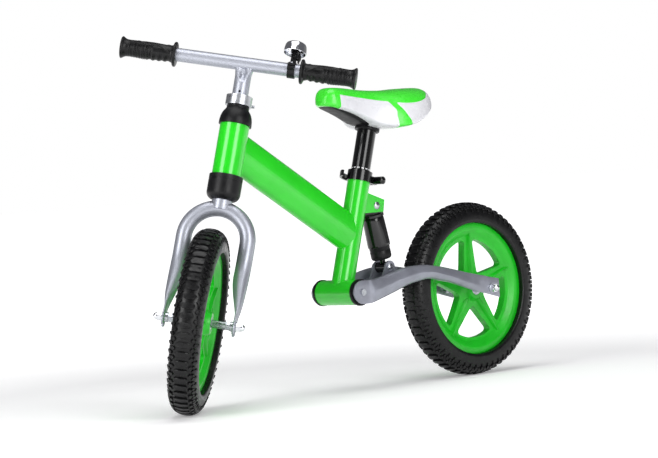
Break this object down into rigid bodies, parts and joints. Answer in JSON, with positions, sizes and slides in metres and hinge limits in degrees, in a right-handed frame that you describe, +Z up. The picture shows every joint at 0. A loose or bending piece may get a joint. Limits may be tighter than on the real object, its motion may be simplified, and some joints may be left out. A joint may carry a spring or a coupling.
{
  "type": "balance bike",
  "caption": "Small child's balance bike with foam tyres, moulded spoked wheels, sprung swing arm, height-adjustable saddle and handlebar, and a bell.",
  "frame": {"origin": "on the ground, in the middle of the bike's bounding box as it stands with the front wheel turned to the left", "axes": "+X forward, +Y to the rider's left, +Z up"},
  "size_m": [0.9075, 0.3132, 0.6144],
  "materials": {
    "frame_paint": "gloss green enamel",
    "black_plastic": "satin moulded",
    "black_paint": "gloss black enamel",
    "zinc_steel": "bright zinc plate",
    "chrome_nut": "polished chrome plate",
    "silver_paint": "silver lacquer",
    "clamp_aluminium": "satin",
    "arm_paint": "grey metallic lacquer",
    "grip_rubber": "soft moulded",
    "tyre_foam": "moulded foam tread",
    "wheel_plastic": "gloss moulded",
    "saddle_vinyl": "gloss vinyl, green and white",
    "spring_steel": "wound wire"
  },
  "bodies": {
    "frame": {"head_tube": "frame_paint", "down_tube": "frame_paint", "seat_tube": "frame_paint", "pivot_shell": "frame_paint", "shock_bracket": "frame_paint", "shock_upper_bolt": "zinc_steel", "headset_upper_cup": "black_plastic", "headset_lower_cup": "black_plastic", "pivot_bushes": "black_plastic", "seat_clamp": "black_paint", "seat_clamp_skewer": "black_paint", "quick_release_pin": "zinc_steel"},
    "quick_release": {"quick_release_lever": "black_paint"},
    "seat": {"seat_post": "black_paint", "saddle_base": "black_plastic", "saddle_pad": "saddle_vinyl", "saddle_bolt": "zinc_steel"},
    "steering": {"steerer_tube": "silver_paint", "fork": "silver_paint", "crown_collar": "silver_paint", "front_axle": "zinc_steel", "front_sleeves": "zinc_steel", "front_lock_nuts": "zinc_steel", "front_washers": "zinc_steel", "front_cap_nuts": "chrome_nut", "stem_clamp": "clamp_aluminium", "stem_clamp_bolt": "zinc_steel"},
    "handlebar": {"stem": "silver_paint", "handlebar_tube": "silver_paint", "grip_left": "grip_rubber", "grip_right": "grip_rubber", "bell_bracket": "black_plastic", "bell_dome": "chrome_nut", "bell_screws": "zinc_steel"},
    "hammer": {"bell_hammer": "black_plastic"},
    "front_wheel": {"front_tyre": "tyre_foam", "front_rim": "wheel_plastic", "front_bearings": "zinc_steel"},
    "swing_arm": {"swing_arm_left": "arm_paint", "swing_arm_right": "arm_paint", "swing_bridge": "arm_paint", "pivot_axle": "zinc_steel", "pivot_bolts": "zinc_steel", "rear_axle": "zinc_steel", "rear_sleeves": "zinc_steel", "rear_lock_nuts": "zinc_steel", "rear_washers": "zinc_steel", "rear_cap_nuts": "chrome_nut", "shock_lower_bolt": "zinc_steel"},
    "rear_wheel": {"rear_tyre": "tyre_foam", "rear_rim": "wheel_plastic", "rear_bearings": "zinc_steel"},
    "shock_body": {"shock_cap": "black_paint", "shock_cover": "black_paint", "shock_spring": "spring_steel"},
    "shock_lower": {"shock_rod": "black_paint", "shock_boot": "black_plastic"}
  },
  "joints": [
    {"name": "steering_turn", "type": "hinge", "parent": "frame", "child": "steering", "pos_m": [0.23615, 0.00855, 0.37477], "axis": [-0.3049, 0, 0.9524], "range_deg": [-107, 23]},
    {"name": "bar_height", "type": "slide", "parent": "steering", "child": "handlebar", "axis": [-0.3049, 0, 0.9524], "range_m": [-0.03, 0.04]},
    {"name": "saddle_height", "type": "slide", "parent": "frame", "child": "seat", "axis": [-0.3007, 0, 0.9537], "range_m": [-0.06, 0]},
    {"name": "quick_release_swing", "type": "hinge", "parent": "frame", "child": "quick_release", "pos_m": [-0.08762, -0.01345, 0.34932], "axis": [0.3007, 0, -0.9537], "range_deg": [0, 130]},
    {"name": "hammer_press", "type": "hinge", "parent": "handlebar", "child": "hammer", "pos_m": [0.11463, 0.06904, 0.5581], "axis": [-0.6441, -0.659, -0.3885], "range_deg": [0, 6], "stiffness_Nm_per_rad": 0.05, "springref_deg": -5.73},
    {"name": "front_wheel_spin", "type": "hinge", "parent": "steering", "child": "front_wheel", "pos_m": [0.3313, 0.02775, 0.14748], "axis": [-0.6373, 0.7431, -0.204], "continuous": true},
    {"name": "suspension", "type": "hinge", "parent": "frame", "child": "swing_arm", "pos_m": [-0.00077, 0.00855, 0.167], "axis": [0, 1, 0], "range_deg": [0, 5], "stiffness_Nm_per_rad": 250, "springref_deg": -2.86},
    {"name": "rear_wheel_spin", "type": "hinge", "parent": "swing_arm", "child": "rear_wheel", "pos_m": [-0.30377, 0.00855, 0.15], "axis": [0, 1, 0], "continuous": true},
    {"name": "shock_swivel", "type": "hinge", "parent": "frame", "child": "shock_body", "pos_m": [-0.08097, 0.00855, 0.3074], "axis": [0, 1, 0], "range_deg": [-1.13, 0]},
    {"name": "shock_stroke", "type": "slide", "parent": "shock_body", "child": "shock_lower", "axis": [0.2047, 0, 0.9788], "range_m": [0, 0.00958], "deforming": ["shock_spring"]}
  ],
  "couplings": [
    {"joint": "shock_swivel", "follows": "suspension", "ratio": -0.18529},
    {"joint": "shock_stroke", "follows": "suspension", "m_per_rad": 0.10637}
  ]
}
